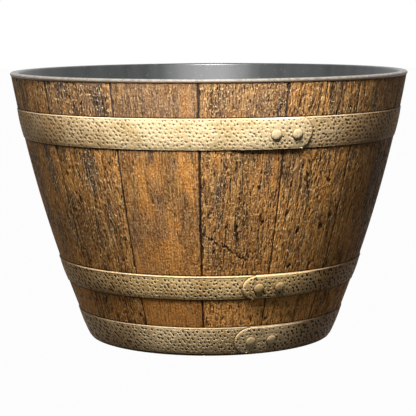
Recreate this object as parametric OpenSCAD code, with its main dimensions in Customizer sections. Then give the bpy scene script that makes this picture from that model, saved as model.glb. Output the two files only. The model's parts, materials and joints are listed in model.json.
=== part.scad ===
// Coopered barrel planter. Bowed staves stand round a boarded head, which sits in a croze cut
// near their feet, and three riveted hoops hold them. A moulded liner drops in and hangs by its
// lip on the tops of the staves.
// Origin: centre of the foot, on the floor. +Z is up. The hoop laps are at the front, on -Y.
// Clock angles start at the front and grow towards +X. Heights are from the floor.

/* [Tub] */
// Outside diameter across the tops of the staves
top_d = 517.4; // [440:0.2:640]
// Outside diameter where the bow of the staves would meet the floor
foot_d = 320; // [280:1:400]
// Height of the staves
stave_h = 343; // [320:1:420]
// Radius of the long bow of a stave
bow_r = 1675; // [1200:25:4000]
// Rounding of the staves' outer corner at the floor
foot_round = 6; // [4:0.5:8]

/* [Staves] */
// Number of staves
stave_n = 15; // [12:1:20]
// Thickness of a stave
stave_t = 7.5; // [7:0.25:12]
// Dry gap between two staves, at their tops
stave_gap = 0.4; // [0.2:0.1:1]
// Chamfer on the long outer edges of a stave
stave_arris = 1; // [0.5:0.25:2]
// The same chamfer at the one joint that has opened, left of the front
open_arris = 2; // [1:0.25:3]
// Clock angle of that joint
open_joint = -2.85; // [-12:0.05:12]

/* [Head] */
// Number of boards in the head
board_n = 5; // [4:1:7]
// Thickness of the head
head_t = 12; // [10:0.5:16]
// Height of the croze, the groove that holds the head
croze_z = 20; // [16:1:40]
// Width of the croze
croze_w = 6; // [4:0.5:8]
// Depth of the croze in the stave
croze_depth = 3.5; // [2.5:0.25:4.5]
// Width of the bevel round the head, on both faces
head_bevel = 9; // [5:1:20]
// Clearance of the head's rim in the croze
head_fit = 0.3; // [0.1:0.05:0.5]
// Gap between two boards
board_gap = 0.4; // [0.1:0.1:1]
// Diameter of the dowels between boards
dowel_d = 6; // [5:0.5:8]
// Length of a dowel
dowel_l = 36; // [24:2:40]
// Distance between the two dowels of a joint
dowel_spread = 120; // [112:2:150]
// Radial clearance of a dowel in its holes
dowel_fit = 0.05; // [0.02:0.01:0.1]

/* [Drain holes] */
// Diameter of a drain hole in the liner
drain_d = 12; // [8:1:16]
// How much wider the head's holes are
drain_over = 2; // [0:0.5:6]
// Distance between holes along a board
drain_pitch = 76; // [60:2:84]

/* [Hoops] */
// Thickness of a strap
hoop_t = 1.6; // [1.2:0.1:2.5]
// Clearance between a hoop and the staves
hoop_fit = 0.1; // [0.05:0.05:0.3]
// Height of the top hoop's lower edge
top_hoop_z = 264; // [240:1:275]
// Width of the top hoop
top_hoop_w = 38; // [30:1:44]
// Height of the middle hoop's lower edge
middle_hoop_z = 76; // [60:1:180]
// Width of the middle hoop
middle_hoop_w = 31; // [26:1:40]
// Height of the bottom hoop's lower edge
bottom_hoop_z = 2.5; // [2:0.5:5]
// Width of the bottom hoop
bottom_hoop_w = 36; // [30:1:42]
// Clock angle of the middle of the laps
lap_angle = 21.5; // [-60:0.5:60]
// Distance from the lap's last rivet to its rounded end
lap_end = 20; // [18:1:28]
// Radius of the top lap's rounded end
top_lap_r = 25; // [23:1:40]
// Radius of the middle lap's rounded end
middle_lap_r = 18; // [18:1:40]
// Radius of the bottom lap's rounded end
bottom_lap_r = 21; // [21:1:40]
// Length of the lap from its other rivet to where the strap leaves the layer below
lap_tail = 50; // [40:2:80]

/* [Rivets] */
// Distance between the two rivets of a lap
rivet_pitch = 27; // [22:1:34]
// Diameter of a rivet's head
rivet_head_d = 14.5; // [10:0.5:16]
// Height of a rivet's head
rivet_head_h = 2.6; // [1.6:0.1:4]
// Straight edge under the dome of the head
rivet_edge_h = 0.7; // [0.3:0.1:1.2]
// Diameter of a rivet's shank
rivet_d = 6; // [4:0.5:8]
// Radial clearance of the shank in its hole
rivet_fit = 0.05; // [0.02:0.01:0.1]

/* [Liner] */
// Wall thickness of the liner
liner_wall = 1.6; // [1.2:0.1:3]
// Gap between the liner's wall and the staves
liner_gap = 0.3; // [0.2:0.1:1]
// Gap between the liner's floor and the head
liner_lift = 1; // [0.5:0.5:6]
// Rounding of the liner's outer corner at its floor
liner_round = 14; // [8:1:24]
// Height of the lip
lip_h = 5; // [3:0.5:8]
// How far the lip reaches past the staves
lip_over = 1.3; // [0.5:0.1:4]
// Gap between the lip and the tops of the staves
lip_gap = 0.2; // [0.1:0.05:0.5]

/* [Hidden] */
$fn = 96;
bow_fn = 720;         // the bow's circle is large, so it is drawn finer
slack = 1;            // how far a cut runs past what it cuts
lap_inset = 0.25;     // how far the edges of a lap's upper layer lie inside those of the lower
tail_sink = 0.1;      // how far the lap's tail starts below the lower layer's face

// The bow: an arc through the stave's outer foot and top, its centre beyond the barrel's axis
top_r = top_d / 2;
foot_r = foot_d / 2;
chord = norm([top_r - foot_r, stave_h]);
bow_reach = sqrt(pow(bow_r, 2) - pow(chord / 2, 2));
bow_c = [
    (top_r + foot_r) / 2 - bow_reach * stave_h / chord,
    stave_h / 2 + bow_reach * (top_r - foot_r) / chord
];

// Radius of the bowed wall at height z, and how far it leans there; out moves it outwards
function wall_r(z, out = 0) = bow_c[0] + sqrt(pow(bow_r + out, 2) - pow(z - bow_c[1], 2));
function wall_lean(z, out = 0) = asin((bow_c[1] - z) / (bow_r + out));
function degrees(arc, r) = arc / r * 180 / PI;

stave_a = 360 / stave_n;
gap_a = degrees(stave_gap, top_r);

// Staves are counted from the open joint, towards +X
function stave_name(i) = str("stave_", i < 10 ? "0" : "", i);
function board_name(i) = str("head_board_", i);
function joint_angle(i) = open_joint + i * stave_a;
function joint_arris(i) = i % stave_n == 0 ? open_arris : stave_arris;

// The head: a tongue in the croze between two bevelled shoulders
croze_out = croze_depth - stave_t;
tongue_z = [croze_z + head_fit, croze_z + croze_w - head_fit];
head_z = [croze_z + (croze_w - head_t) / 2, croze_z + (croze_w + head_t) / 2];
head_mid = croze_z + croze_w / 2;
head_r = wall_r(tongue_z[1], croze_out) - head_fit;
board_w = 2 * head_r / board_n;
function board_x(i) = -head_r + (i - 0.5) * board_w;

// The liner hangs by its lip, clear of the head
liner_out = -stave_t - liner_gap;
liner_z = head_z[1] + liner_lift;
lip_low = stave_h + lip_gap;
lip_in = wall_r(lip_low, liner_out - liner_wall);
lip_out = wall_r(stave_h) + lip_over;

// Each hoop: its lower edge, its width, the side that its lap's outer end points to, and the
// radius of that end
TOP = [top_hoop_z, top_hoop_w, 1, top_lap_r];
MIDDLE = [middle_hoop_z, middle_hoop_w, -1, middle_lap_r];
BOTTOM = [bottom_hoop_z, bottom_hoop_w, -1, bottom_lap_r];
function hoop_mid(h) = h[0] + h[1] / 2;
function hoop_degrees(h, arc) = degrees(arc, wall_r(hoop_mid(h)));
function rivet_angle(h, k) = lap_angle + k * hoop_degrees(h, rivet_pitch / 2);

// ---- half sections, drawn in the plane of radius and height ----

// Everything inside the bowed wall, moved outwards by out, between two heights
module bow_area(out, low, high) {
    intersection() {
        translate(bow_c) circle(r = bow_r + out, $fn = bow_fn);
        translate([0, low]) square([top_d, high - low]);
    }
}

// What a rounding of radius q takes off the corner between the wall and a floor below it
module corner_waste(centre, q, lean) {
    reach = 3 * q;
    middle = (90 + lean) / 2;
    translate(centre) difference() {
        polygon([
            [0, 0],
            [0, -reach],
            [reach * cos(middle), -reach * sin(middle)],
            [reach * cos(lean), -reach * sin(lean)]
        ]);
        circle(r = q);
    }
}

// The tub's outline grown by out, with its rounded foot
module tub_area(out, low, high) {
    difference() {
        bow_area(out, low, high);
        corner_waste(
            [wall_r(foot_round, -foot_round), foot_round],
            foot_round + out,
            wall_lean(foot_round, -foot_round)
        );
    }
}

module stave_section() {
    difference() {
        tub_area(0, 0, stave_h);
        bow_area(-stave_t, -slack, stave_h + slack);
        bow_area(croze_out, croze_z, croze_z + croze_w);
    }
}

// The part of a section between two heights on the wall, cut square to the wall
module bow_slice(low, high) {
    polygon([
        bow_c,
        for (z = [low, high]) bow_c + 2 * bow_r * [cos(wall_lean(z)), -sin(wall_lean(z))]
    ]);
}

// One layer of a hoop's strap: the first lies on the staves, the second on the first
module strap_section(h, inner, outer, inset = 0) {
    intersection() {
        difference() {
            tub_area(hoop_fit + outer, 0, stave_h);
            tub_area(hoop_fit + inner, -slack, stave_h + slack);
        }
        bow_slice(h[0] + inset, h[0] + h[1] - inset);
    }
}

module head_section() {
    inside = [wall_r(croze_z, -stave_t), wall_r(croze_z + croze_w, -stave_t)];
    polygon([
        [0, head_z[0]],
        [wall_r(head_z[0], -stave_t) - head_bevel, head_z[0]],
        [inside[0] - head_fit, tongue_z[0]],
        [wall_r(tongue_z[0], croze_out) - head_fit, tongue_z[0]],
        [head_r, tongue_z[1]],
        [inside[1] - head_fit, tongue_z[1]],
        [wall_r(head_z[1], -stave_t) - head_bevel, head_z[1]],
        [0, head_z[1]]
    ]);
}

// A bowl's outline, its outer face moved outwards by out, with a corner of radius q at its floor
module bowl_area(out, floor_z, q, high) {
    difference() {
        bow_area(out, floor_z, high);
        corner_waste([wall_r(floor_z + q, out - q), floor_z + q], q, wall_lean(floor_z + q, out - q));
    }
}

module liner_section() {
    lip_q = lip_h / 2;
    lip_z = lip_low + lip_q;
    difference() {
        bowl_area(liner_out, liner_z, liner_round, lip_z);
        bowl_area(
            liner_out - liner_wall, liner_z + liner_wall, liner_round - liner_wall, lip_z + slack
        );
    }
    translate([lip_in + lip_q, lip_low]) square([lip_out - lip_in - lip_h, lip_h]);
    for (r = [lip_in + lip_q, lip_out - lip_q]) translate([r, lip_z]) circle(r = lip_q);
}

// ---- placing ----

// Turns a solid about the axis to a clock angle
module at_clock(a) {
    rotate([0, 0, a - 90]) children();
}

// Stands children on the bowed wall: their +Z points straight out of it, their +X down it
module on_wall(a, z, out = 0) {
    lean = wall_lean(z);
    at_clock(a)
        translate([wall_r(z) + out * cos(lean), 0, z - out * sin(lean)])
            rotate([0, 90 + lean, 0])
                children();
}

// ---- staves ----

// A V-shaped groove along the joint at clock angle a, swept along the bow
module joint_groove(a, size) {
    low = asin((-slack - bow_c[1]) / bow_r);
    high = asin((stave_h + slack - bow_c[1]) / bow_r);
    at_clock(a) translate([bow_c[0], 0, bow_c[1]]) rotate([90, 0, 0]) rotate([0, 0, low])
        rotate_extrude(angle = high - low, $fn = bow_fn)
            translate([bow_r, 0]) circle(r = size, $fn = 4);
}

module stave(i) {
    tone = [[0.55, 0.36, 0.20], [0.47, 0.31, 0.19], [0.60, 0.41, 0.24], [0.42, 0.29, 0.19]];
    color(tone[(i * 3) % 4])
    difference() {
        at_clock(joint_angle(i - 1) + gap_a / 2)
            rotate_extrude(angle = stave_a - gap_a) stave_section();
        joint_groove(joint_angle(i - 1), joint_arris(i - 1));
        joint_groove(joint_angle(i), joint_arris(i));
    }
}

// ---- head ----

module drain_holes(d) {
    for (i = [2:board_n - 1], k = i % 2 == 1 ? [-1, 0, 1] : [-0.5, 0.5])
        translate([board_x(i), k * drain_pitch, 0])
            cylinder(h = liner_z + liner_wall + slack, d = d);
}

// The dowels of the joint between board i and the next
module joint_dowels(i, d, l) {
    for (y = [-dowel_spread / 2, dowel_spread / 2])
        translate([board_x(i + 0.5), y, head_mid]) rotate([0, 90, 0])
            cylinder(h = l, d = d, center = true);
}

module head_board(i) {
    tone = [[0.50, 0.38, 0.25], [0.45, 0.33, 0.21]];
    color(tone[i % 2])
    difference() {
        intersection() {
            rotate_extrude() head_section();
            translate([board_x(i) - (board_w - board_gap) / 2, -top_r, 0])
                cube([board_w - board_gap, top_d, head_z[1] + slack]);
        }
        drain_holes(drain_d + drain_over);
        if (i > 1) joint_dowels(i - 1, dowel_d + 2 * dowel_fit, dowel_l + 2);
        if (i < board_n) joint_dowels(i, dowel_d + 2 * dowel_fit, dowel_l + 2);
    }
}

module head_dowels() {
    color([0.72, 0.58, 0.40])
    for (i = [1:board_n - 1]) joint_dowels(i, dowel_d, dowel_l);
}

// ---- hoops ----

// The strap's second layer, from its tail to its rounded end. It leaves the first layer along a
// tangent, as a springy strap does.
module lap(h) {
    side = h[2];
    z = hoop_mid(h);
    end_r = h[3];
    end = lap_angle + side * hoop_degrees(h, rivet_pitch / 2 + lap_end);
    turn = end - side * hoop_degrees(h, end_r);
    tail = lap_angle - side * hoop_degrees(h, rivet_pitch / 2 + lap_tail);
    reach = 2 * end_r;
    difference() {
        intersection() {
            at_clock(min(tail, end + side)) rotate_extrude(angle = abs(end + side - tail))
                strap_section(h, hoop_t / 2, 2 * hoop_t, lap_inset);
            union() {
                at_clock(min(tail, turn)) rotate_extrude(angle = abs(turn - tail))
                    translate([wall_r(z) - reach, z - reach]) square(2 * reach);
                on_wall(turn, z) translate([0, 0, -reach]) cylinder(h = 2 * reach, r = end_r);
            }
        }
        on_wall(tail, z, hoop_fit + hoop_t - tail_sink) translate([-reach, -reach, 0])
            cube([2 * reach, 2 * reach, reach]);
    }
}

module hoop(h) {
    color([0.72, 0.60, 0.38])
    difference() {
        union() {
            rotate_extrude() strap_section(h, 0, hoop_t);
            lap(h);
        }
        for (k = [-1, 1]) on_wall(rivet_angle(h, k), hoop_mid(h), -slack)
            cylinder(h = 3 * hoop_t + 2 * slack, r = rivet_d / 2 + rivet_fit);
    }
}

// A shank through both layers and a low domed head on top of them
module rivet() {
    dome_h = rivet_head_h - rivet_edge_h;
    dome_r = (pow(rivet_head_d / 2, 2) + pow(dome_h, 2)) / (2 * dome_h);
    cylinder(h = 2 * hoop_t + rivet_edge_h, d = rivet_d);
    translate([0, 0, 2 * hoop_t]) cylinder(h = rivet_edge_h, d = rivet_head_d);
    translate([0, 0, 2 * hoop_t + rivet_edge_h]) intersection() {
        cylinder(h = dome_h, d = rivet_head_d);
        translate([0, 0, dome_h - dome_r]) sphere(r = dome_r);
    }
}

module hoop_rivets(h) {
    color([0.80, 0.69, 0.47])
    for (k = [-1, 1]) on_wall(rivet_angle(h, k), hoop_mid(h), hoop_fit) rivet();
}

// ---- liner ----

module liner() {
    color([0.33, 0.34, 0.36])
    difference() {
        rotate_extrude() liner_section();
        drain_holes(drain_d);
    }
}

for (i = [1:stave_n]) stave(i);
for (i = [1:board_n]) head_board(i);
head_dowels();
hoop(BOTTOM);  // bottom_hoop
hoop(MIDDLE);  // middle_hoop
hoop(TOP);  // top_hoop
hoop_rivets(BOTTOM);  // bottom_hoop_rivets
hoop_rivets(MIDDLE);  // middle_hoop_rivets
hoop_rivets(TOP);  // top_hoop_rivets
liner();
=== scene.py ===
# %% [markdown]
# # A coopered barrel planter
# A half-barrel tub: bowed staves stand round a boarded head, hammered hoops hold them together,
# and a moulded liner hangs inside by its lip. The frame brings every piece at its true size and
# place, so this lesson only has to make the surfaces: grain that stands out of the wood, hammer
# marks in the straps, wear on the lip.

# %% Load the frame
import json
import math
from collections import namedtuple

import bpy
import numpy as np
from mathutils import Matrix, Vector

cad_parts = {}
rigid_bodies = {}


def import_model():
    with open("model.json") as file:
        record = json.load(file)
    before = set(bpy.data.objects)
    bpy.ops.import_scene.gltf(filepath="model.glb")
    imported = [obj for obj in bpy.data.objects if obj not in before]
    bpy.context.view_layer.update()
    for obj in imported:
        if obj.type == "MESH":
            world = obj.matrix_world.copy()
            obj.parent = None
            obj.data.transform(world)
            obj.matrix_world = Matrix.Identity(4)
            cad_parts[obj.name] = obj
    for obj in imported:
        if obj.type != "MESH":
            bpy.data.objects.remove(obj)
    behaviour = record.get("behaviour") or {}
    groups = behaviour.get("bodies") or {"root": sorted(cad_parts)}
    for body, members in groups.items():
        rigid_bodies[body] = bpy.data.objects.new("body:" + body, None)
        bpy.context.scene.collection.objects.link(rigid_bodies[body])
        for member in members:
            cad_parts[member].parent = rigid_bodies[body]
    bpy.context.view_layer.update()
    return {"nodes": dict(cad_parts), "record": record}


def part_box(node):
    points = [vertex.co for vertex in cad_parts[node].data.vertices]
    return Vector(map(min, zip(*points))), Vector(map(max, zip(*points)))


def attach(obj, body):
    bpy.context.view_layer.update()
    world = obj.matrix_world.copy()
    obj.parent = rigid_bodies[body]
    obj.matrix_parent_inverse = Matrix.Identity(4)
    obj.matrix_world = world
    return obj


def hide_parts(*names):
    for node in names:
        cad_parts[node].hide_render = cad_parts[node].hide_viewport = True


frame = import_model()


def link(obj):
    bpy.context.scene.collection.objects.link(obj)
    return obj


def mm(value):
    """A length for printing."""
    return round(float(value) * 1000, 2)


# %% [markdown]
# ## Camera
# The photograph was taken from a little over two metres, slightly above the rim, with a long
# lens. A camera could be placed by eye, but rings on a round tub fix it much better: the width
# of the rim, the heights of the hoops and how far each ring sags give distance, height and tilt.

# %% Place the camera
CAMERA_PLACE = (-0.0020, -2.0826, 0.433)
CAMERA_PITCH, CAMERA_ROLL = 7.332, 0.33
SENSOR, LENS = 36, 136.34

camera_data = bpy.data.cameras.new("camera")
camera_data.sensor_width, camera_data.lens = SENSOR, LENS
camera = bpy.data.objects.new("camera", camera_data)
camera.matrix_world = (
    Matrix.Translation(CAMERA_PLACE)
    @ Matrix.Rotation(math.radians(90 - CAMERA_PITCH), 4, "X")
    @ Matrix.Rotation(math.radians(-CAMERA_ROLL), 4, "Z")
)
bpy.context.scene.camera = link(camera)
print("camera:", [round(v, 4) for v in camera.location])

# %% [markdown]
# ## Shader maths
# A finish is a graph of nodes, and a graph of many Math nodes is hard to read. So a socket is
# wrapped in a small class that knows + - * / and abs(): an expression on values then adds its
# Math nodes by itself.


# %% Wrap a socket
class Value:
    """One output socket, with the arithmetic that the finishes use."""

    def __init__(self, graph, socket):
        self.graph, self.socket = graph, socket

    def __add__(self, other):
        return self.graph.maths("ADD", self, other)

    def __sub__(self, other):
        return self.graph.maths("SUBTRACT", self, other)

    def __rsub__(self, other):
        return self.graph.maths("SUBTRACT", other, self)

    def __mul__(self, other):
        return self.graph.maths("MULTIPLY", self, other)

    def __truediv__(self, other):
        return self.graph.maths("DIVIDE", self, other)

    def __abs__(self):
        return self.graph.maths("ABSOLUTE", self)


print("sockets know + - * /")


# %% Make nodes
class Graph:
    """The node tree of a material or of the world."""

    def __init__(self, owner):
        owner.use_nodes = True
        self.tree = owner.node_tree

    def node(self, kind, settings=None, sockets=None, out=0):
        """Adds a node with its settings and its sockets, by name or number."""
        made = self.tree.nodes.new(kind)
        for key, value in (settings or {}).items():
            setattr(made, key, value)
        for key, value in (sockets or {}).items():
            self.feed(made.inputs[key], value)
        return Value(self, made.outputs[out])

    def feed(self, socket, value):
        if isinstance(value, Value):
            self.tree.links.new(value.socket, socket)
        else:
            socket.default_value = value

    def maths(self, operation, a, b=0):
        return self.node("ShaderNodeMath", {"operation": operation}, {0: a, 1: b})

    def vectors(self, operation, sockets, out=0):
        return self.node("ShaderNodeVectorMath", {"operation": operation}, sockets, out)

    def seen_by(self, *rays):
        """1 for a ray of one of these kinds, 0 for any other."""
        kinds = self.node("ShaderNodeLightPath").socket.node.outputs
        seen = Value(self, kinds[rays[0]])
        for ray in rays[1:]:
            seen = self.maths("MAXIMUM", seen, Value(self, kinds[ray]))
        return seen

    def show(self, output, factor, a, b):
        """Shows shader a, changed towards b by the factor."""
        mixed = self.node("ShaderNodeMixShader", None, {0: factor, 1: a, 2: b})
        self.feed(self.tree.nodes[output].inputs["Surface"], mixed)


print("graph ready")


# %% Make a finish
class Finish(Graph):
    """A material whose Principled shader is fed by expressions."""

    def __init__(self, name):
        self.material = bpy.data.materials.new(name)
        super().__init__(self.material)
        self.shader = self.tree.nodes["Principled BSDF"]

    def set(self, **values):
        for name, value in values.items():
            self.feed(self.shader.inputs[name.replace("_", " ")], value)

    def paint(self, *objects):
        for one in objects:
            one.data.materials.clear()
            one.data.materials.append(self.material)

    def place(self):
        """Where a point is on the object, in metres."""
        return self.node("ShaderNodeTexCoord", out=3)

    def attribute(self, name):
        return self.node("ShaderNodeAttribute", {"attribute_name": name}, out=1)

    def parts(self, vector):
        """The x, y and z of a vector."""
        split = self.node("ShaderNodeSeparateXYZ", None, {0: vector})
        return [Value(self, output) for output in split.socket.node.outputs]

    def step(self, value, low, high):
        """0 below low, 1 above high, and a smooth rise between them."""
        return self.node("ShaderNodeMapRange", {"interpolation_type": "SMOOTHSTEP"}, {
            "Value": value, "From Min": low, "From Max": high})

    def fall(self, value, low, high):
        """1 below low, 0 above high."""
        return 1 - self.step(value, low, high)

    def mix(self, factor, a, b):
        """Colour a, changed towards colour b by the factor."""
        return self.node("ShaderNodeMix", {"data_type": "RGBA", "clamp_factor": True}, {
            "Factor": factor, 6: a, 7: b}, out=2)

    def coats(self, colour, *coats):
        """Lays colours over the first one, each as (how much, colour)."""
        for factor, paint in coats:
            colour = self.mix(factor, colour, paint)
        return colour

    def stretch(self, vector, scale, shift=(0, 0, 0)):
        return self.vectors("MULTIPLY_ADD", {0: vector, 1: scale, 2: shift})

    def apart(self, vector, number, steps):
        """Moves a vector apart for each board, by its number."""
        own = self.node("ShaderNodeCombineXYZ", None, {n: number * step for n, step in enumerate(steps)})
        return self.vectors("ADD", {0: vector, 1: own})

    def noise(self, vector, scale, detail=2, shift=(0, 0, 0), twist=0.0):
        """Soft noise from 0 to 1; scale is how many blots go into a metre, each way."""
        return self.node("ShaderNodeTexNoise", None, {
            "Vector": self.stretch(vector, scale, shift), "Scale": 1,
            "Detail": detail, "Distortion": twist})

    def bump(self, strength, distance, height):
        return self.node("ShaderNodeBump", None, {
            "Strength": strength, "Distance": distance, "Height": height})


def rgb(red, green, blue):
    """A colour read off the photograph's scale of 0 to 255, made linear."""
    values = [v / 255 for v in (red, green, blue)]
    return (*[v / 12.92 if v <= 0.04045 else ((v + 0.055) / 1.055) ** 2.4 for v in values], 1)


print("mid grey in linear light:", round(rgb(128, 128, 128)[0], 3))

# %% [markdown]
# ## Floor, lamps and backdrop
# The tub stands on plain white paper. Turning the lamps up until the paper clips to white would
# wash out the wood, so the paper and the world show white to the camera and to reflections by
# themselves, and a little of the paper stays ordinary paint, which keeps the shadow. One soft
# lamp hangs close, high in front of the tub, which is why its sides fall off so dark in the
# photograph. A weak one keeps the left side lighter than the right, and one behind lights the
# half that the photograph doesn't show. The white card is seen in reflections alone: it is the
# pale sheen inside the liner.

# %% Lay the floor
ops = bpy.ops
FLOOR_R, FLOOR_Z = 9, -0.0002
PAPER_GLOW, WHITE = 0.975, (1, 1, 1, 1)


def add(primitive, **settings):
    """A new mesh object, with nothing else selected."""
    ops.object.select_all(action="DESELECT")
    primitive(**settings)
    return bpy.context.object


circle = ops.mesh.primitive_circle_add
floor = add(circle, vertices=96, radius=FLOOR_R, fill_type="NGON", location=(0, 0, FLOOR_Z))
floor.name = "floor"
paper = Finish("floor_paper")
paper.set(Base_Color=rgb(24, 24, 24), Roughness=0.9)
glow = paper.node("ShaderNodeEmission", None, {"Color": WHITE, "Strength": 1.0})
seen = paper.seen_by("Is Camera Ray", "Is Glossy Ray")
paper.show("Material Output", seen * PAPER_GLOW, Value(paper, paper.shader.outputs[0]), glow)
paper.paint(floor)
print("floor:", floor.name)

# %% Make the world white where it is seen
AIR_LIGHT = 0.012

world = bpy.data.worlds.new("studio")
bpy.context.scene.world = world
sky = Graph(world)
air, white = [sky.node("ShaderNodeBackground", None, {"Color": WHITE, "Strength": strength})
              for strength in (AIR_LIGHT, 1.0)]
sky.show("World Output", sky.seen_by("Is Camera Ray", "Is Glossy Ray", "Is Transmission Ray"), air, white)
bpy.context.scene.view_settings.view_transform = "Standard"
print("world:", world.name, "with", len(sky.tree.nodes), "nodes")


# %% Hang the lamps
def lamp(name, place, aim, size, watts, high=None):
    """A soft lamp of a size in metres, square unless high is given."""
    data = bpy.data.lights.new(name, "AREA")
    data.size, data.energy = size, watts
    if high:
        data.shape, data.size_y = "RECTANGLE", high
    made = bpy.data.objects.new(name, data)
    made.location = place
    made.rotation_euler = (Vector(aim) - Vector(place)).to_track_quat("-Z", "Y").to_euler()
    return link(made)


lamp("key_lamp", (-0.05, -0.75, 1.15), (0, 0, 0.22), 0.32, 50)
lamp("side_lamp", (-1.3, -0.7, 0.5), (0, 0, 0.22), 0.8, 1.5)
back = lamp("back_lamp", (0.05, 0.85, 1.2), (0, 0, 0.2), 0.5, 40)
back.visible_glossy = False
card = lamp("white_card", (-0.03, -1.5, 0.96), (0, 0.24, 0.3), 1.5, 16, high=0.35)
card.visible_diffuse = False
print("lamps:", [o.name for o in bpy.data.objects if o.type == "LIGHT"])

# %% [markdown]
# ## One stave
# A stave is a bowed board, wide at the top and narrow at the foot, with its long edges planed to
# the barrel's centre so that it closes against its neighbours. It could be bent out of a flat
# board, but a bend changes its width. Here the bow is drawn as a real circle, trimmed to the
# stave's height, thickened, and spun about the tub's axis: both curves are then exact. The
# outside gets a fine grid, because the grain is to be real relief.

# %% Measures of the wall
TOP_R, FOOT_R = 0.2587, 0.160
STAVE_H, STAVE_T, BOW_R = 0.343, 0.0075, 1.675
STAVE_N = 15
STAVE_A = 2 * math.pi / STAVE_N
GAP_A = 0.0004 / TOP_R
BOARD_A = STAVE_A - GAP_A
OPEN_JOINT = math.radians(-2.85)
TOUCH = 1e-5

chord = math.hypot(TOP_R - FOOT_R, STAVE_H)
bow_reach = math.sqrt(BOW_R**2 - (chord / 2) ** 2)
BOW_Y = -(TOP_R + FOOT_R) / 2 + bow_reach * STAVE_H / chord
BOW_Z = STAVE_H / 2 + bow_reach * (TOP_R - FOOT_R) / chord


def wall_r(z, out=0.0):
    """Radius of the bowed wall at a height, moved outwards by out."""
    return np.sqrt((BOW_R + out) ** 2 - (z - BOW_Z) ** 2) - BOW_Y


def wall_lean(z):
    """How far the wall leans out there, in radians."""
    return math.asin((BOW_Z - z) / BOW_R)


print("wall radius at foot and top:", [mm(wall_r(z)) for z in (0, STAVE_H)], "mm")


# %% Tools for selecting by place
def places(obj):
    """Radius, clock angle from the front, height and position of every vertex."""
    co = np.empty(len(obj.data.vertices) * 3)
    obj.data.vertices.foreach_get("co", co)
    co = co.reshape(-1, 3)
    return np.hypot(co[:, 0], co[:, 1]), np.arctan2(co[:, 0], -co[:, 1]), co[:, 2], co


def far(co, spot):
    """Distance of each position from a spot."""
    return np.linalg.norm(co - np.array(spot), axis=1)


def activate(*objects):
    """Selects only these objects, and makes the first the active one."""
    ops.object.select_all(action="DESELECT")
    for one in objects:
        one.select_set(True)
    bpy.context.view_layer.objects.active = objects[0]


def edit(obj, vertices=None, edges=None):
    """Goes into edit mode with only these vertices or edges selected, or with all of them."""
    ops.object.mode_set(mode="OBJECT")
    activate(obj)
    ops.object.mode_set(mode="EDIT")
    ops.mesh.select_mode(type="VERT" if edges is None else "EDGE")
    every = vertices is None and edges is None
    ops.mesh.select_all(action="SELECT" if every else "DESELECT")
    if not every:
        ops.object.mode_set(mode="OBJECT")
        target, chosen = (obj.data.vertices, vertices) if edges is None else (obj.data.edges, edges)
        target.foreach_set("select", np.asarray(chosen, bool))
        ops.object.mode_set(mode="EDIT")


def twin(obj):
    """A copy with a mesh of its own."""
    made = obj.copy()
    made.data = obj.data.copy()
    return link(made)


def extrude(*move):
    ops.mesh.extrude_region_move(TRANSFORM_OT_translate={"value": move})


def done(obj):
    ops.object.mode_set(mode="OBJECT")
    return obj


def face_outwards(obj):
    edit(obj)
    ops.mesh.normals_make_consistent(inside=False)
    return done(obj)


def weld(obj):
    """Joins the points that touch, and turns the faces outwards."""
    edit(obj)
    ops.mesh.remove_doubles(threshold=TOUCH)
    return face_outwards(obj)


print("floor's radius:", mm(places(floor)[0].max()), "mm")


# %% Tools for weights and notes
def weigh(obj, name, weights, least=0):
    """A vertex group of the vertices that weigh more than least."""
    group = obj.vertex_groups.new(name=name)
    for n in np.flatnonzero(weights > least):
        group.add([int(n)], float(weights[n]), "REPLACE")


def note(obj, name, *values):
    """Stores three values at every vertex, for a finish to read."""
    stored = obj.data.attributes.new(name, "FLOAT_VECTOR", "POINT")
    stored.data.foreach_set("vector", np.stack(values, 1).astype(np.float32).ravel())


def press(obj, group, depth, pattern=None, space=None):
    """Presses a group's vertices inwards, by their weights, or through a texture as well."""
    push = obj.modifiers.new(group, "DISPLACE")
    push.vertex_group, push.strength, push.mid_level = group, -depth, 0.0
    if pattern:
        push.texture, push.strength, push.mid_level = pattern, depth, 1.0
    if space:
        push.texture_coords, push.texture_coords_object = "OBJECT", space
    activate(obj)
    ops.object.modifier_apply(modifier=push.name)


print("weights and notes ready")


# %% Tools for drawing the bow
def bow_wire(rows, low, high, out=0.0, square=False):
    """The bow as a row of vertices in front of the tub, between two heights on the wall.
    It is cut level, as a stave is, or square to the wall, as a strap is."""
    wire = add(circle, vertices=rows, radius=BOW_R + out,
               location=(0, BOW_Y, BOW_Z), rotation=(0, math.pi / 2, 0))
    ops.object.transform_apply()
    for height, side in ((low, -1), (high, 1)):
        lean = wall_lean(height)
        edit(wire)
        ops.mesh.bisect(
            plane_co=(0, BOW_Y, BOW_Z) if square else (0, 0, height),
            plane_no=(0, -side * math.sin(lean), side * math.cos(lean)) if square else (0, 0, side),
            clear_outer=True,
        )
    edit(wire)
    ops.mesh.bisect(plane_co=(0, BOW_Y, 0), plane_no=(0, 1, 0), clear_outer=True)
    return done(wire)


def from_bow(r, z):
    """Distance from the bow's centre, across the wall."""
    return np.hypot(r + BOW_Y, z - BOW_Z)


def deepen(factor):
    """Scales what is selected towards the bow's centre, square to the wall."""
    ops.transform.resize(value=(1, factor, factor), center_override=(0, BOW_Y, BOW_Z))


print("bow's centre:", mm(BOW_Y), mm(BOW_Z), "mm, radius", mm(BOW_R), "mm")

# %% Draw the stave's section
ROWS, COLUMNS = 5600, 144
HOOP_EDGES = ((-1, 0.0385), (0.076, 0.107), (0.264, 0.302))
UNDER_HOOP, KEEP_ROW = 0.0025, 5
CROZE, CROZE_DEPTH = (0.020, 0.026), 0.0035
FOOT_ROUND = 0.004

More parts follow.
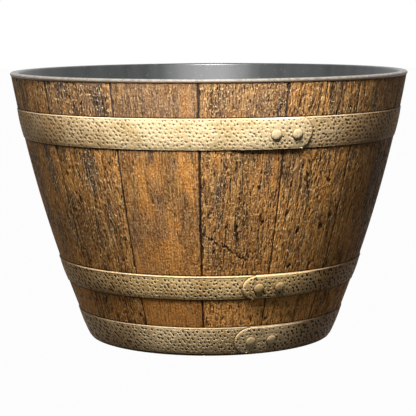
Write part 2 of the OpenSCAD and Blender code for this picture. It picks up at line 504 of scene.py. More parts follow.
stave = bow_wire(ROWS, -0.004, STAVE_H + 0.001)
_, _, z, _ = places(stave)
rank = np.argsort(np.argsort(z))
hidden = np.any([(z > low + UNDER_HOOP) & (z < high - UNDER_HOOP) for low, high in HOOP_EDGES], axis=0)
edit(stave, vertices=hidden & ((rank % KEEP_ROW != 0) | (z < 0.011)) & (z > 0))
ops.mesh.dissolve_verts()

layer = STAVE_T - CROZE_DEPTH
edit(stave)
ops.mesh.extrude_region_move()
deepen((BOW_R - layer) / BOW_R)
ops.mesh.extrude_region_move()
deepen((BOW_R - STAVE_T) / (BOW_R - layer))
cuts = [(0, -1, True), (STAVE_H, 1, True)] + [(height, 1, False) for height in CROZE]
for height, normal, trim in cuts:
    ops.mesh.select_all(action="SELECT")
    ops.mesh.bisect(plane_co=(0, 0, height), plane_no=(0, 0, normal), clear_outer=trim)
done(stave)
print("section:", len(stave.data.polygons), "faces")

# %% Cut the groove, round the foot and spin the section
centres = np.array([p.center for p in stave.data.polygons])
centre_r, centre_z = -centres[:, 1], centres[:, 2]
groove = (centre_r < wall_r(centre_z, -layer)) & (centre_z > CROZE[0]) & (centre_z < CROZE[1])
edit(stave, vertices=[False] * len(stave.data.vertices))
ops.mesh.select_mode(type="FACE")
done(stave)
stave.data.polygons.foreach_set("select", groove)
ops.object.mode_set(mode="EDIT")
ops.mesh.delete(type="FACE")
done(stave)
r, _, z, _ = places(stave)
edit(stave, vertices=(z < TOUCH) & (r > FOOT_R - 0.001))
ops.mesh.bevel(offset=FOOT_ROUND, segments=4, affect="VERTICES")
edit(stave)
ops.mesh.spin(steps=COLUMNS, angle=-BOARD_A, center=(0, 0, 0), axis=(0, 0, 1))
face_outwards(stave)
print("stave, solid:", len(stave.data.vertices), "vertices,", len(stave.data.polygons), "faces")

# %% Thin out the hidden side
KEEP_COLUMN = 12
FACE_LOW = 0.0045


def on_face(r, z):
    """Which vertices lie on the outer face or its rounded foot."""
    return (r > wall_r(z) - 5e-5) | ((z < FACE_LOW) & (r > FOOT_R - 0.0041))


def column(a):
    return np.rint(a / BOARD_A * COLUMNS).astype(int)


r, a, z, _ = places(stave)
outer, col = on_face(r, z), column(a)
ends = np.empty(len(stave.data.edges) * 2, int)
stave.data.edges.foreach_get("vertices", ends)
ends = ends.reshape(-1, 2)
along = col[ends[:, 0]] == col[ends[:, 1]]
inside = ~(outer[ends[:, 0]] & outer[ends[:, 1]])
edit(stave, edges=along & inside & (col[ends[:, 0]] % KEEP_COLUMN != 0))
ops.mesh.dissolve_edges(use_verts=True)
done(stave)
print("stave, thinned:", len(stave.data.vertices), "vertices,", len(stave.data.polygons), "faces")


# %% Ease the long edges
def ease(obj, columns_and_depths):
    """Moves whole columns of the outer face inwards, as a plane takes off the corner."""
    for number, depth in columns_and_depths:
        r, a, z, _ = places(obj)
        edit(obj, vertices=on_face(r, z) & (column(a) == number))
        angle = number / COLUMNS * BOARD_A
        ops.transform.translate(value=(-depth * math.sin(angle), depth * math.cos(angle), 0))
    done(obj)


ease(stave, [(0, 0.0010), (COLUMNS, 0.0010), (1, 0.00035), (COLUMNS - 1, 0.00035)])

r, a, z, _ = places(stave)
middle = BOARD_A / 2
across = (a - middle) * wall_r(z)
to_edge = middle * wall_r(z) - np.abs(across)
face = (r > wall_r(z) - 0.0012) & (z > FACE_LOW)
whole = np.clip((to_edge - 0.0002) / 0.0016, 0, 1)
weigh(stave, "face", whole * face)
weigh(stave, "lower", whole * (1 - 0.65 * np.clip((z - 0.24) / 0.06, 0, 1)) * face)
weigh(stave, "rim", np.clip(1 - to_edge / 0.0035, 0, 1) * (to_edge > 0.0002) * face)
note(stave, "grain", across, z, wall_r(z) - r)
print("stave, eased: width at top", mm(2 * across.max()), "mm")

# %% [markdown]
# ## Relief of the grain
# Brushed and weathered oak stands out in ridges, because the soft early wood between the growth
# rings wears away first. Bump alone would look painted at the edges, so the relief is real:
# textures push the outer face inwards, never outwards. Bands bent by noise give the growth rings,
# clouds the short fibres, ridged noise the long drying cracks, cells the pecked holes, and a last
# texture chips the long edges. Towards the rim, where boards are worn smooth, bands and holes
# fade. The large splits and knots of the photograph are jagged lines from start to stop.


# %% Textures and the space they lie in
def texture(name, kind, stops=None, **settings):
    made = bpy.data.textures.new(name, kind)
    for key, value in settings.items():
        setattr(made, key, value)
    if stops:
        made.use_color_ramp = True
        ramp = made.color_ramp
        ramp.elements.remove(ramp.elements[1])
        for n, (place, level) in enumerate(stops):
            stop = ramp.elements.new(place) if n else ramp.elements[0]
            stop.position, stop.color = place, (level, level, level, 1)
    return made


def board_space(name, wide, long, turned=0.0):
    """An empty whose X runs across the board and Z along it, stretched to wide and long."""
    stretched = link(bpy.data.objects.new(name + "_stretch", None))
    stretched.scale = (wide, 1, long)
    stretched.rotation_euler.z = middle
    inner = link(bpy.data.objects.new(name, None))
    inner.rotation_euler.y = turned
    inner.parent = stretched
    return inner


BANDS = texture("growth_bands", "WOOD", wood_type="BANDNOISE", noise_basis_2="SIN", turbulence=11,
                noise_scale=1.6, stops=[(0.0, 0.0), (0.02, 0.4), (0.10, 1.0)])
FIBRES = texture("fibres", "CLOUDS", noise_scale=1.0, noise_depth=1,
                 stops=[(0.27, 0.0), (0.36, 0.7), (0.43, 1.0)])
CRACKS = texture("drying_cracks", "MUSGRAVE", musgrave_type="RIDGED_MULTIFRACTAL", noise_scale=1.0,
                 octaves=2, noise_intensity=0.66, stops=[(0.0, 1.0), (0.86, 1.0), (0.94, 0.0)])
PECKS = texture("pecked_holes", "VORONOI", noise_scale=1.0, stops=[(0.13, 0.0), (0.22, 1.0)])
CHIPS = texture("chipped_edges", "CLOUDS", noise_scale=1.0, noise_depth=3,
                stops=[(0.32, 0.0), (0.5, 1.0)])
RELIEF = [
    (BANDS, board_space("bands", 0.0070, 0.055, math.radians(45)), 0.00040, "lower"),
    (FIBRES, board_space("fibres", 0.0013, 0.008), 0.00055, "face"),
    (CRACKS, board_space("cracks", 0.010, 0.12), 0.0010, "face"),
    (PECKS, board_space("pecks", 0.0075, 0.016), 0.0010, "lower"),
    (CHIPS, board_space("chips", 0.004, 0.012), 0.0005, "rim"),
]
print("relief:", [(pattern.name, mm(depth)) for pattern, _, depth, _ in RELIEF])

# %% Carve a board, and mark its splits
# how much a board has of each relief, where the photograph shows it
FIGURE = {
    15: (0.3, 0.7, 0.2, 0, 0.5),
    1: (0.5, 1.2, 0.8, 0.3, 1),
    2: (0.35, 1.1, 0.8, 0.4, 1),
    14: (0.3, 1.4, 0.3, 0.3, 0.8),
}
SPLITS = {
    1: [
        ((-0.045, 0.162), (0.012, 0.126)), ((-0.003, 0.168), (-0.002, 0.148)),
        ((0.023, 0.220), (0.024, 0.216)), ((0.027, 0.184), (0.029, 0.172)),
        ((-0.036, 0.188), (-0.037, 0.180)),
    ],
    2: [
        ((-0.013, 0.234), (-0.009, 0.214)), ((0.020, 0.234), (0.022, 0.218)),
        ((-0.014, 0.163), (-0.013, 0.160)), ((0.021, 0.166), (0.021, 0.163)),
        ((-0.017, 0.119), (-0.016, 0.115)), ((0.016, 0.118), (0.016, 0.114)),
    ],
    6: [((0.045, 0.21), (-0.01, 0.17))],
    11: [((-0.04, 0.13), (0.004, 0.158))],
}
SPLIT_DEPTH, SPLIT_TURN, SPLIT_STRAY = 0.0010, 0.0031, 0.0021


def carve(board, shift, amounts):
    """Presses each texture into the board, with its space moved by shift."""
    for (pattern, space, depth, group), amount in zip(RELIEF, amounts):
        if amount:
            space.parent.location = shift
            bpy.context.view_layer.update()
            press(board, group, depth * amount, pattern, space)


def mark_splits(obj, splits, seed):
    """Weights for jagged splits and small knots, each from start to stop as (across, height)."""
    dice = np.random.default_rng(seed)
    r, a, z, _ = places(obj)
    spot = np.stack([(a - middle) * wall_r(z), z], 1)
    weight = np.zeros(len(spot))
    for start, stop in splits:
        turns = max(6, round(math.dist(start, stop) / SPLIT_TURN) + 1)
        t = np.linspace(0, 1, turns)
        stray = dice.uniform(-SPLIT_STRAY, SPLIT_STRAY, (turns, 2))
        path = np.outer(1 - t, start) + np.outer(t, stop) + stray
        thin, thick = (0.0002, 0.0015) if turns > 12 else (0.0007, 0.0023)
        for one, two in zip(path, path[1:]):
            along = np.clip((spot - one) @ (two - one) / np.sum((two - one) ** 2), 0, 1)
            away = far(spot - np.outer(along, two - one), one)
            weight = np.maximum(weight, np.clip(1 - away / dice.uniform(thin, thick), 0, 1))
    weigh(obj, "split", weight * on_face(r, z))


print("boards with splits:", sorted(SPLITS))

# %% Copy the stave round the tub
SMOOTH_A = math.radians(50)

dice = np.random.default_rng(7)
staves = []
for number in range(1, STAVE_N + 1):
    board = twin(stave)
    board.name = "oak_stave_%02d" % number
    if number == 1:
        ease(board, [(0, 0.0010), (1, 0.0008), (2, 0.0004)])
    if number == STAVE_N:
        ease(board, [(COLUMNS, 0.0010), (COLUMNS - 1, 0.0008), (COLUMNS - 2, 0.0004)])
    shift = dice.uniform(-1, 1), dice.uniform(-1, 1), dice.uniform(-2, 2)
    amounts = dice.uniform((0.2, 0.9, 0.3, 0.0, 0.5), (0.8, 1.3, 0.9, 0.5, 1.0))
    if number in SPLITS:
        mark_splits(board, SPLITS[number], seed=number)
        press(board, "split", SPLIT_DEPTH)
    carve(board, shift, FIGURE.get(number, amounts))
    r, a, z, _ = places(board)
    relief = (wall_r(z) - r) * 1000
    to_edge = (middle - np.abs(a - middle)) * wall_r(z) * 1000
    # relief depth, distance to the edge and board number: the finish darkens the joints from them, and
    # paints shade in the grooves and highlight on the ridges
    note(board, "wear", np.where(relief > 2.5, 0, relief), to_edge, np.full(len(r), number))
    activate(board)
    board.rotation_euler.z = OPEN_JOINT + (number - 1) * STAVE_A + GAP_A / 2
    ops.object.transform_apply(rotation=True)
    ops.object.shade_smooth_by_angle(angle=SMOOTH_A)
    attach(board, "tub")
    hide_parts("stave_%02d" % number)
    staves.append(board)
bpy.data.objects.remove(stave)
print("staves:", len(staves), "mean relief of the last", round(float(relief[relief < 4].mean()), 2), "mm")

# %% [markdown]
# ## Wood finish
# The boards are stained brown, orange where the stain is thin and blue-black where iron and
# damp have got in. A plain colour with noise would look the same on every board, so the finish
# reads the board's own grain coordinates and how deep its relief lies: the deep grooves get
# painted shade, and the ridges a pale coat that is partly dry-brushed paint, partly painted highlight.
# Threads, pores and checks (short dry cracks) lie over the stain. As in the photograph, board 15
# is calmer than the rest, a few are more golden, and some have single dark blots.

# %% Read a point's place on its board
# board, place across, height, half width and half height
BLOTS = [
    (14, 0.036, 0.322, 0.010, 0.020), (14, -0.022, 0.334, 0.014, 0.012),
    (14, 0.004, 0.232, 0.012, 0.030), (13, 0.024, 0.236, 0.012, 0.036),
    (3, -0.018, 0.318, 0.008, 0.022), (8, 0.010, 0.300, 0.016, 0.030),
    (3, 0.030, 0.215, 0.016, 0.080), (4, -0.028, 0.205, 0.026, 0.110),
]

wood = Finish("stave_wood")
step, fall, noise = wood.step, wood.fall, wood.noise
board_place = wood.attribute("grain")
across, height, _ = wood.parts(board_place)
depth, edge, number = wood.parts(wood.attribute("wear"))
at = wood.apart(board_place, number, (3.7, 1.9, 5.3))


def on_boards(first, last):
    """1 on the boards from first to last, 0 on the others."""
    return step(number, first - 0.8, first - 0.2) * fall(number, last + 0.2, last + 0.8)


warm = noise(at, (26, 9, 10), 3, twist=1.2)
damp = noise(at, (30, 8, 9), 3, shift=(3, 5, 1), twist=1.2)
purple = noise(at, (34, 10, 12), 3, shift=(9, 2, 4), twist=1.2)
coarse = 1 - on_boards(2, 14) * 0.2
grained = wood.vectors("SCALE", {0: at, "Scale": coarse})
threads = noise(grained, (430, 80, 80), 2, twist=1.0)
pores = noise(grained, (560, 340, 330), 1)
checks = noise(grained, (300, 16, 18), 2, shift=(2, 8, 3), twist=0.7)
calm = 1 - on_boards(15, 15) * 0.55
busy = (step(noise(at, (24, 9, 9), 2, shift=(5, 7, 2)), 0.40, 0.58) * 0.4 + 0.6) * calm
print("wood:", len(wood.tree.nodes), "nodes before its colours")

# %% Mix the wood finish
high_up, low_down = step(height, 0.05, 0.18), fall(height, 0.06, 0.11)
golden = on_boards(2, 4) + on_boards(13, 13) + on_boards(1, 1) * (1 - high_up)
weathered = step(height, 0.24, 0.32) * (step(purple, 0.36, 0.56) * 0.3 + 0.55)
colour = wood.coats(
    rgb(128, 84, 42),
    (step(warm, 0.36, 0.62), rgb(190, 125, 56)),
    (fall(height, 0.03, 0.20) * 0.6, rgb(196, 122, 46)),
    (weathered, rgb(112, 90, 74)),
    (golden * 0.5, rgb(210, 142, 68)),
    (low_down * on_boards(1, 2) * 0.7, rgb(244, 168, 84)),
    (step(purple, 0.50, 0.66) * high_up * 0.65, rgb(96, 68, 54)),
    (step(damp, 0.56, 0.70) * high_up * 0.85, rgb(58, 52, 56)),
)
for board_number, blot_x, blot_z, wide, high in BLOTS:
    off_x = (across - blot_x) / wide
    off_z = (height - blot_z) / high
    other = abs(number - board_number) * 9
    blot = fall(off_x * off_x + off_z * off_z + other + threads + damp * 2, 1.5, 3.2)
    colour = wood.mix(blot * 0.85, colour, rgb(54, 51, 60))
ridge = step(depth, 0.01, 0.06) * fall(depth, 0.10, 0.22)
joint = wood.mix(step(height, 0.20, 0.30), rgb(38, 32, 30), rgb(74, 70, 70))
beside = 1.0
for low_z, high_z in HOOP_EDGES:
    off_hoop = wood.maths("MAXIMUM", low_z - height, height - high_z)
    beside = wood.maths("MINIMUM", beside, off_hoop)
colour = wood.coats(
    colour,
    (step(threads, 0.53, 0.60) * busy * 0.6, rgb(54, 34, 20)),
    (fall(threads, 0.38, 0.44) * busy * 0.5, rgb(214, 172, 108)),
    (fall(checks, 0.36, 0.42) * busy * 0.4, rgb(212, 158, 88)),
    (step(checks, 0.57, 0.61) * busy * 0.8, rgb(46, 30, 20)),
    (step(pores, 0.58, 0.64) * calm * 0.5, rgb(48, 32, 20)),
    (fall(pores, 0.31, 0.38) * calm * 0.7, rgb(236, 204, 152)),
    # pale ridges: partly dry-brushed paint, partly painted highlight
    (ridge * 0.3, rgb(220, 182, 128)),
    # painted shade in the deep grooves
    (step(depth, 0.22, 0.50) * 0.85, rgb(40, 28, 21)),
    (fall(edge, 0.1, 0.8) * 0.75, joint),
    # darker along the hoops' edges
    (fall(beside * 1000, 0.7, 2.4) * 0.8, rgb(40, 31, 27)),
)
wood.set(Base_Color=colour, Roughness=step(depth, 0, 1) * 0.25 + 0.5, Specular_IOR_Level=0.02,
         Normal=wood.bump(0.9, 0.002, 1 - threads * 0.5 - pores * 0.5 - checks * 0.4))
wood.paint(*staves)
print("wood finish on", len(staves), "staves,", len(wood.tree.nodes), "nodes")

# %% [markdown]
# ## Hoops
# Each hoop is a flat strap beaten to the taper of the tub, so its section follows the bow. Its
# ends overlap at the front and two rivets hold them. The section is drawn as the stave's was and
# spun all the way round; the lap is a second, shorter spin on top, cut to a round end.

# %% Measures of the hoops
HOOP_FIT, HOOP_T, LAP_INSET = 0.0001, 0.0016, 0.00025
RING_OUT, LAP_OUT = HOOP_FIT + HOOP_T, HOOP_FIT + 2 * HOOP_T
LAP_A = math.radians(21.5)
RIVET_R, RIVET_PITCH, LAP_END, LAP_TAIL = 0.0067, 0.027, 0.020, 0.060
Hoop = namedtuple("Hoop", "low high side end_r steps")
HOOPS = {
    "top_hoop": Hoop(0.264, 0.302, side=1, end_r=0.0215, steps=1500),
    "middle_hoop": Hoop(0.076, 0.107, side=-1, end_r=0.0158, steps=1450),
    "bottom_hoop": Hoop(0.0025, 0.0385, side=-1, end_r=0.0183, steps=1350),
}


def on_wall(angle, z, out=0.0):
    """A point on the wall, and the directions out of it, along it and up it."""
    lean, r = wall_lean(z), float(wall_r(z))
    sideways = Vector((math.cos(angle), math.sin(angle), 0))
    front = Vector((math.sin(angle), -math.cos(angle), 0))
    normal = front * math.cos(lean) + Vector((0, 0, -math.sin(lean)))
    up = front * math.sin(lean) + Vector((0, 0, math.cos(lean)))
    return front * r + Vector((0, 0, z)) + normal * out, normal, sideways, up


def mid(h):
    return (h.low + h.high) / 2


def arc(h, length):
    """The angle that a length takes up on a hoop."""
    return length / float(wall_r(mid(h)))


def on_rivet(h, side):
    return on_wall(LAP_A + side * arc(h, RIVET_PITCH / 2), mid(h), LAP_OUT)


print("hoops:", {name: mm(h.high - h.low) for name, h in HOOPS.items()}, "mm wide")

# %% Draw and spin the straps
STRAP_ROW, STRAP_ROUND, KEEP_INNER = 0.0009, 0.0008, 8
NEAR = 1e-4


def strap_outline(h, out, inset=0.0):
    """The outline of a strap's section, its outer corners rounded."""
    rows = int(2 * math.pi * BOW_R / STRAP_ROW)
    wire = bow_wire(rows, h.low + inset, h.high - inset, out, square=True)
    edit(wire)
    ops.mesh.extrude_region_move()
    deepen((BOW_R + out - HOOP_T) / (BOW_R + out))
    done(wire)
    r, _, z, _ = places(wire)
    reach = from_bow(r, z)
    lean = np.arcsin((BOW_Z - z) / reach)
    ends = (lean > lean.max() - NEAR / BOW_R) | (lean < lean.min() + NEAR / BOW_R)
    edit(wire, vertices=ends & (reach > BOW_R + out - NEAR))
    ops.mesh.bevel(offset=STRAP_ROUND, segments=3, affect="VERTICES")
    edit(wire)
    ops.mesh.dissolve_faces()
    ops.mesh.delete(type="ONLY_FACE")
    done(wire)
    r, _, z, _ = places(wire)
    inner = from_bow(r, z) < BOW_R + out - HOOP_T + NEAR
    order = np.argsort(np.argsort(np.where(inner, z, 9)))
    edit(wire, vertices=inner & (order % KEEP_INNER != 0) & (order < inner.sum() - 1))
    ops.mesh.dissolve_verts()
    return done(wire)


def ring(wire, steps):
    """Turns the outline once round the tub's axis, into a closed ring."""
    screw = wire.modifiers.new("ring", "SCREW")
    screw.axis, screw.angle, screw.steps, screw.render_steps = "Z", 2 * math.pi, steps, steps
    screw.use_merge_vertices, screw.merge_threshold = True, TOUCH
    ops.object.modifier_apply(modifier=screw.name)
    return face_outwards(wire)


print("rows of a strap:", mm(STRAP_ROW), "mm")


# %% Lap the straps
def lap(h):
    """The strap's second layer, from its tail to its round end."""
    side, end_r = h.side, h.end_r
    end = LAP_A + side * arc(h, RIVET_PITCH / 2 + LAP_END)
    tail = LAP_A - side * arc(h, RIVET_PITCH / 2 + LAP_TAIL)
    steps = int(abs(end - tail) * float(wall_r(mid(h))) / 0.001)
    made = strap_outline(h, LAP_OUT, LAP_INSET)
    made.rotation_euler.z = min(tail, end)
    ops.object.transform_apply(rotation=True)
    edit(made)
    ops.mesh.edge_face_add()
    ops.mesh.spin(steps=steps, angle=-abs(end - tail), center=(0, 0, 0), axis=(0, 0, 1))
    weld(made)
    centre, _, sideways, up = on_wall(end - side * arc(h, end_r), mid(h))
    for degrees in range(-84, 85, 12):
        beta = math.radians(degrees)
        away = sideways * side * math.cos(beta) + up * math.sin(beta)
        edit(made)
        ops.mesh.bisect(plane_co=centre + away * end_r, plane_no=away, clear_outer=True, use_fill=True)
    return done(made), tail, centre


def around_end(h, centre, a, co):
    """How far points lie inside the lap's round end, and which are beyond its centre."""
    return h.end_r - far(co, centre), (a - math.atan2(centre.x, -centre.y)) * h.side > 0


def mark_layer(obj, layer):
    """Notes which face a vertex is on: 1 the ring's outer face, 2 the lap's, 0 any other."""
    stored = obj.data.attributes.new("layer", "FLOAT", "POINT")
    stored.data.foreach_set("value", np.asarray(layer, np.float32))


def sink(obj, tail, length):
    """Lets the lap's tail run down into the ring over a length, column by column."""
    r, a, _, _ = places(obj)
    columns = np.unique(np.round(a, 5)[np.abs(a - tail) * r < length])
    for angle in columns:
        _, a, _, _ = places(obj)
        share = 1 - abs(angle - tail) * float(r.max()) / length
        if share > 0:
            edit(obj, vertices=np.abs(a - angle) < 2e-5)
            down = (HOOP_T + BELOW) * share**1.5
            ops.transform.translate(value=(-down * math.sin(angle), down * math.cos(angle), 0))
    done(obj)


SOFT_END, END_DROP, TAIL_SLOPE, BELOW = 0.002, 0.0006, 0.034, 0.0006
TOP_LAYER = 0.0009

hoops, centres = {}, {}
for name, h in HOOPS.items():
    over, tail, centres[name] = lap(h)
    r, a, z, co = places(over)
    top_face = from_bow(r, z) > BOW_R + LAP_OUT - TOP_LAYER
    mark_layer(over, 2 * top_face)
    from_end, beyond = around_end(h, centres[name], a, co)
    weigh(over, "end", np.clip(1 - from_end / SOFT_END, 0, 1) ** 2 * (top_face & beyond))
    press(over, "end", END_DROP)
    sink(over, tail, TAIL_SLOPE)
    hoop = ring(strap_outline(h, RING_OUT), h.steps)
    hoop.name = "brass_" + name
    r, _, z, _ = places(hoop)
    mark_layer(hoop, from_bow(r, z) > BOW_R + RING_OUT - TOP_LAYER)
    activate(hoop, over)
    ops.object.join()
    hoops[name] = hoop
    print(hoop.name, len(hoop.data.vertices), "vertices")

# %% [markdown]
# ## Hammer marks
# The straps are pitted all over with a small punch. The marks lie on the strap and not in space,
# so they are laid out by arc length and height: a grid, each blow shifted, turned and sized a
# little differently, as a hand does, and spread towards the sides. No blow falls on an edge, a
# rivet or the lap's round end. Each vertex gets its distance to the nearest blow, which sets how
# far it is pushed in, and the finish reads it for the dark in the pits.

# %% Lay out the blows
BLOW_PITCH = (0.0080, 0.0049)
BLOW_SIZE = (0.0024, 0.00125)
BLOW_SPREAD = 0.15
BLOW_TURN = math.radians(-38)


def nearest_blow(u, v, round_u):
    """Distance to the nearest blow at each (u, v), 1 at its edge; round_u closes the pattern."""
    across, high = int(round(round_u / BLOW_PITCH[0])), 12
    dice = np.random.default_rng(11)
    shift = dice.uniform(-0.27, 0.27, (across, high, 2))
    size = dice.uniform(0.75, 1.2, (across, high))
    turn = BLOW_TURN + dice.uniform(-0.35, 0.35, (across, high))
    step_u, row_v = round_u / across, BLOW_PITCH[1]
    nearest = np.full(len(u), 3.0)
    for du in (-1, 0, 1):
        for dv in (-1, 0, 1):
            row = np.floor(v / row_v).astype(int) + dv
            col = np.floor(u / step_u - 0.5 * (row % 2)).astype(int) + du
            k = (col % across, row % high)
            left = u - (col + 0.5 + 0.5 * (row % 2) + shift[k][:, 0]) * step_u
            up = v - (row + 0.5 + shift[k][:, 1]) * row_v
            c, s = np.cos(turn[k]), np.sin(turn[k])
            away = np.hypot((left * c + up * s) / BLOW_SIZE[0], (up * c - left * s) / BLOW_SIZE[1])
            nearest = np.minimum(nearest, away / size[k])
    return nearest


def near_rivets(h, co):
    """Distance from each point to the edge of the nearer rivet head."""
    return np.min([far(co, on_rivet(h, side)[0]) for side in (-1, 1)], axis=0) - RIVET_R


def fade(distance, start, length=0.0012):
    """0 up to the start, and 1 from start plus length on."""
    return np.clip((distance - start) / length, 0, 1)


print("blows lie", [mm(v) for v in BLOW_PITCH], "mm apart")

# %% Strike the blows
BLOW_DEPTH, SHOULDER_DEPTH, WAVE_DEPTH = 0.0010, 0.0012, 0.0002
SHOULDER = 0.0045
BEATEN = texture("beaten_waves", "CLOUDS", noise_scale=0.02, noise_depth=1)

for name, hoop in hoops.items():
    h = HOOPS[name]
    r, a, z, co = places(hoop)
    middle_r = float(wall_r(mid(h)))
    layer = np.empty(len(r), np.float32)
    hoop.data.attributes["layer"].data.foreach_get("value", layer)
    outer, second = layer > 0.5, layer > 1.5
    low_lean, high_lean = math.sin(wall_lean(h.low)), math.sin(wall_lean(h.high))
    v = (low_lean - (BOW_Z - z) / from_bow(r, z)) * BOW_R
    wide = (low_lean - high_lean) * BOW_R
    rim = np.minimum(v, wide - v)
    rivet = near_rivets(h, co)
    spread = a + BLOW_SPREAD * np.sin(2 * a)
    blow = nearest_blow(spread * middle_r, v + 0.0011, 2 * math.pi * middle_r)
    from_end, beyond = around_end(h, centres[name], a, co)
    outline = np.where(beyond & (second | (from_end < 0)), np.abs(from_end), 1)
    clear = fade(rim, 0.0006) * fade(rivet, 0, 0.001) * fade(outline, 0.0008)
    pit = np.clip(1 - blow**2, 0, 1) ** 1.5 * clear
    shoulder = 0.4 * (1 - np.sqrt(1 - np.clip(1 - rim / SHOULDER, 0, 1) ** 2))
    shoulder = shoulder + 0.6 * np.clip(1 - 2 * rim / wide, 0, 1) ** 2
    weigh(hoop, "shoulders", shoulder * outer, 0.01)
    weigh(hoop, "pits", pit * outer, 0.01)
    weigh(hoop, "skin", clear * outer, 0.01)
    press(hoop, "shoulders", SHOULDER_DEPTH)
    press(hoop, "pits", BLOW_DEPTH)
    press(hoop, "skin", WAVE_DEPTH, BEATEN)
    # distance to the strap's edges, the rivets and the lap's round end, near which the finish darkens the
    # brass
    from_edges = np.minimum(np.minimum(v, wide - v + 0.0006), np.abs(rivet))
    from_edges = np.minimum(from_edges, np.where(beyond & ~second & (from_end < 0), -from_end * 0.3, 1))
    # the lap's round end gets the painted highlight of the strap's upper edge
    bright_end = beyond & second & (from_end < 0.0022)
    # for the finish: blow distance, edge distance, and height across the strap for painted highlight and
    # shade
    note(hoop, "wear", blow + (1 - clear), from_edges * 1000, np.where(bright_end, 0.93, v / wide))
    hoop.data.attributes.remove(hoop.data.attributes["layer"])
    ops.object.shade_smooth_by_angle(angle=SMOOTH_A)
    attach(hoop, "tub")
    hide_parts(name)
    print(hoop.name, "share of the face in pits", round(float((pit > 0.1).mean()), 2))

# %% [markdown]
# ## Brass finish
# Antiqued brass, with brown lacquer left in the pits and darker along the edges. Painted highlights
# lie on the pits' rims and the straps' upper edges, and painted shade on their lower parts and towards
# the tub's sides. A metallic shader would mirror the white paper and lose its colour where nothing
# bright stands round, so the brass is a satin paint in the tones that the lacquer gives it.


# %% Mix the brass finish
def brass_finish(name, beaten, painted_highlight, bright, dull, lacquer):
    """Brass in three tones and the colour of its painted highlights; beaten is how strongly the blows
    show.
    """
    brass = Finish(name)
    step, fall = brass.step, brass.fall
    spot = brass.place()
    blow, from_edges, low = brass.parts(brass.attribute("wear"))
    flat = brass.stretch(spot, (1, 1, 0))
    sideways = brass.parts(brass.vectors("NORMALIZE", {0: flat}))[0]
    cloudy = brass.noise(spot, (22, 22, 22), 3)
    fine = brass.noise(spot, (600, 600, 600), 3)
    # painted shade towards the tub's left and right sides: there the pits grow larger and darker
    side = step(abs(sideways), 0.3, 0.8)
    blow = blow - side * 0.35
    # a ring round each pit, which gets a painted highlight
    lip = step(blow, 0.95, 1.15) * fall(blow, 1.2, 1.5)
    pit = brass.mix(side * 0.8, lacquer, rgb(40, 26, 12))
    tone = brass.coats(
        bright,
        (step(cloudy, 0.38, 0.66), dull),
        (step(fine, 0.50, 0.72) * 0.4, lacquer),
        # painted highlights on the pits' rims and along the strap's upper edge
        (lip * beaten * 0.8 + step(low, 0.88, 0.97) * 0.35, painted_highlight),
        # painted shade on the lower part of the strap
        (fall(low, 0.0, 0.4) * 0.3, lacquer),
        # painted shade towards the sides, deeper on the right
        (step(abs(sideways), 0.35, 0.95) * 0.12, lacquer),
        (step(sideways, 0.5, 0.95) * 0.5, lacquer),
        (step(abs(sideways), 0.3, 0.85) * 0.3, rgb(172, 106, 40)),
        (fall(blow, 0.55, 1.05) * beaten * 0.95, pit),
        # darker along the edges, round the rivets and beyond the lap's end
        (fall(from_edges, 0.1, 0.9) * 0.85, lacquer),
    )
    brass.set(Base_Color=tone, Roughness=step(fine, 0.3, 0.8) * 0.15 + 0.5,
              Specular_IOR_Level=0.04, Normal=brass.bump(0.5, 0.0006, fine))
    return brass


BRASS = {}
# each hoop's tones: painted highlight, bright, dull and lacquer
for name, beaten, *tones in (
    ("top_hoop", 0.6, (240, 224, 188), (214, 190, 146), (188, 160, 112), (112, 82, 44)),
    ("middle_hoop", 1, (246, 222, 176), (218, 182, 124), (186, 148, 92), (46, 29, 12)),
    ("bottom_hoop", 1, (248, 226, 184), (224, 192, 144), (186, 154, 108), (36, 24, 13)),
):
    BRASS[name] = brass_finish(name + "_brass", beaten, *[rgb(*tone) for tone in tones])
    BRASS[name].paint(hoops[name])
print("brass on", len(hoops), "hoops")

# %% [markdown]
# ## Rivets
# Two rivets hold each lap. Their heads are low domes, closed by a few hammer blows. One is turned
# from a disc, shaped, and copied to its six places on the wall.

# %% Shape one rivet
RIVET_RIM, RIVET_CROWN, INSETS, SHANK_R = 0.0008, 0.0010, 9, 0.003

rivet = add(circle, vertices=48, radius=RIVET_R, fill_type="NGON", location=(0, 0, 0))
edit(rivet)
extrude(0, 0, RIVET_RIM)
for n in range(1, INSETS):
    before, now = [1 - (1 - k / INSETS) ** 3.5 for k in (n - 1, n)]
    ops.mesh.inset(thickness=RIVET_R / INSETS, depth=0)
    ops.transform.translate(value=(0, 0, RIVET_CROWN * (now - before)))
done(rivet)
edit(rivet, vertices=places(rivet)[2] < TOUCH)
ops.mesh.delete(type="ONLY_FACE")
done(rivet)
edit(rivet, vertices=places(rivet)[2] < TOUCH)
ops.mesh.edge_face_add()
ops.mesh.inset(thickness=RIVET_R - SHANK_R)
extrude(0, 0, -2 * HOOP_T)
face_outwards(rivet)
r, _, z, _ = places(rivet)
from_rim = np.where(z > RIVET_RIM + TOUCH, (RIVET_R - r) * 1000 + 0.2, 0)
# the heads darken towards their edge; the third value, 0.92, gives them the straps' painted highlight
note(rivet, "wear", np.full(len(r), 2.0), from_rim, np.full(len(r), 0.92))
print("rivet:", len(rivet.data.polygons), "faces, height", mm(z.max()), "mm")

